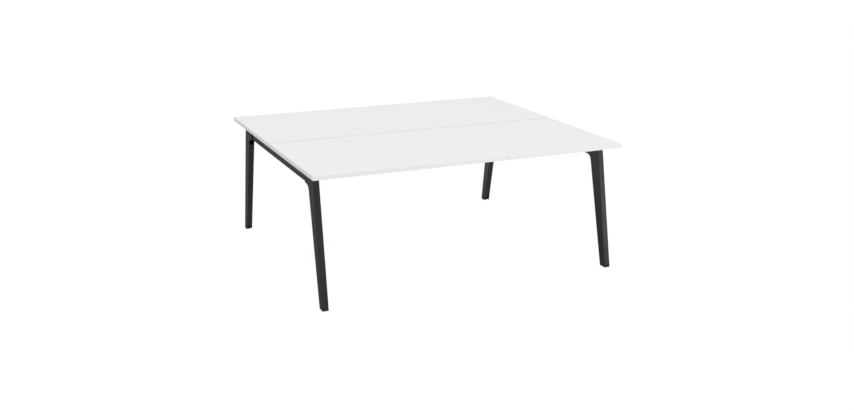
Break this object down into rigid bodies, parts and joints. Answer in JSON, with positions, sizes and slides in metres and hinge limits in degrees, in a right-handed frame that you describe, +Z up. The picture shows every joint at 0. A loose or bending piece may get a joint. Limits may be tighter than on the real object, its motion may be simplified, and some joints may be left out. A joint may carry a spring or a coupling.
{
  "type": "benching desk",
  "caption": "Benching desk for two users facing each other: white worktops back to back on splayed, tapered steel end frames with levelling feet.",
  "frame": {"origin": "on the floor, under the middle of the desk", "axes": "+X along the long edges, +Y from the front user's side to the rear user's side, +Z up"},
  "size_m": [1.8, 1.608, 0.72],
  "materials": {
    "white_board": "fine-textured white melamine face on chipboard",
    "white_edging": "satin white plastic edging strip",
    "anthracite_coat": "satin anthracite powder coat with a fine orange-peel texture",
    "zinc_steel": "bright zinc-plated steel",
    "black_plastic": "moulded black plastic"
  },
  "bodies": {
    "frame": {"front_beam": "anthracite_coat", "front_beam_left_end_plate": "anthracite_coat", "front_beam_left_front_bolt": "zinc_steel", "front_beam_left_rear_bolt": "zinc_steel", "front_beam_right_end_plate": "anthracite_coat", "front_beam_right_front_bolt": "zinc_steel", "front_beam_right_rear_bolt": "zinc_steel", "front_left_foot_insert": "black_plastic", "front_left_leg": "anthracite_coat", "front_left_leg_head_screw": "zinc_steel", "front_left_rail_screw": "zinc_steel", "front_left_rail_spigot": "zinc_steel", "front_left_spigot_bolt": "zinc_steel", "front_right_foot_insert": "black_plastic", "front_right_leg": "anthracite_coat", "front_right_leg_head_screw": "zinc_steel", "front_right_rail_screw": "zinc_steel", "front_right_rail_spigot": "zinc_steel", "front_right_spigot_bolt": "zinc_steel", "front_worktop": "white_board", "front_worktop_front_edging": "white_edging", "front_worktop_left_edging": "white_edging", "front_worktop_rear_edging": "white_edging", "front_worktop_right_edging": "white_edging", "left_end_rail": "anthracite_coat", "rear_beam": "anthracite_coat", "rear_beam_left_end_plate": "anthracite_coat", "rear_beam_left_front_bolt": "zinc_steel", "rear_beam_left_rear_bolt": "zinc_steel", "rear_beam_right_end_plate": "anthracite_coat", "rear_beam_right_front_bolt": "zinc_steel", "rear_beam_right_rear_bolt": "zinc_steel", "rear_left_foot_insert": "black_plastic", "rear_left_leg": "anthracite_coat", "rear_left_leg_head_screw": "zinc_steel", "rear_left_rail_screw": "zinc_steel", "rear_left_rail_spigot": "zinc_steel", "rear_left_spigot_bolt": "zinc_steel", "rear_right_foot_insert": "black_plastic", "rear_right_leg": "anthracite_coat", "rear_right_leg_head_screw": "zinc_steel", "rear_right_rail_screw": "zinc_steel", "rear_right_rail_spigot": "zinc_steel", "rear_right_spigot_bolt": "zinc_steel", "rear_worktop": "white_board", "rear_worktop_front_edging": "white_edging", "rear_worktop_left_edging": "white_edging", "rear_worktop_rear_edging": "white_edging", "rear_worktop_right_edging": "white_edging", "right_end_rail": "anthracite_coat"},
    "front_left_pad": {"front_left_floor_pad": "black_plastic"},
    "front_left_stem": {"front_left_levelling_stem": "zinc_steel"},
    "front_right_pad": {"front_right_floor_pad": "black_plastic"},
    "front_right_stem": {"front_right_levelling_stem": "zinc_steel"},
    "rear_left_pad": {"rear_left_floor_pad": "black_plastic"},
    "rear_left_stem": {"rear_left_levelling_stem": "zinc_steel"},
    "rear_right_pad": {"rear_right_floor_pad": "black_plastic"},
    "rear_right_stem": {"rear_right_levelling_stem": "zinc_steel"}
  },
  "joints": [
    {"name": "front_left_pad_travel", "type": "slide", "parent": "frame", "child": "front_left_pad", "axis": [0, 0, -1], "range_m": [0, 0.012]},
    {"name": "front_left_stem_turn", "type": "hinge", "parent": "front_left_pad", "child": "front_left_stem", "pos_m": [-0.843, -0.7645, 0], "axis": [0, 0, -1], "range_deg": [0, 2880]},
    {"name": "front_right_pad_travel", "type": "slide", "parent": "frame", "child": "front_right_pad", "axis": [0, 0, -1], "range_m": [0, 0.012]},
    {"name": "front_right_stem_turn", "type": "hinge", "parent": "front_right_pad", "child": "front_right_stem", "pos_m": [0.843, -0.7645, 0], "axis": [0, 0, -1], "range_deg": [0, 2880]},
    {"name": "rear_left_pad_travel", "type": "slide", "parent": "frame", "child": "rear_left_pad", "axis": [0, 0, -1], "range_m": [0, 0.012]},
    {"name": "rear_left_stem_turn", "type": "hinge", "parent": "rear_left_pad", "child": "rear_left_stem", "pos_m": [-0.843, 0.7645, 0], "axis": [0, 0, -1], "range_deg": [0, 2880]},
    {"name": "rear_right_pad_travel", "type": "slide", "parent": "frame", "child": "rear_right_pad", "axis": [0, 0, -1], "range_m": [0, 0.012]},
    {"name": "rear_right_stem_turn", "type": "hinge", "parent": "rear_right_pad", "child": "rear_right_stem", "pos_m": [0.843, 0.7645, 0], "axis": [0, 0, -1], "range_deg": [0, 2880]}
  ],
  "couplings": [
    {"joint": "front_left_stem_turn", "follows": "front_left_pad_travel", "rad_per_m": 4188.8},
    {"joint": "front_right_stem_turn", "follows": "front_right_pad_travel", "rad_per_m": 4188.8},
    {"joint": "rear_left_stem_turn", "follows": "rear_left_pad_travel", "rad_per_m": 4188.8},
    {"joint": "rear_right_stem_turn", "follows": "rear_right_pad_travel", "rad_per_m": 4188.8}
  ]
}
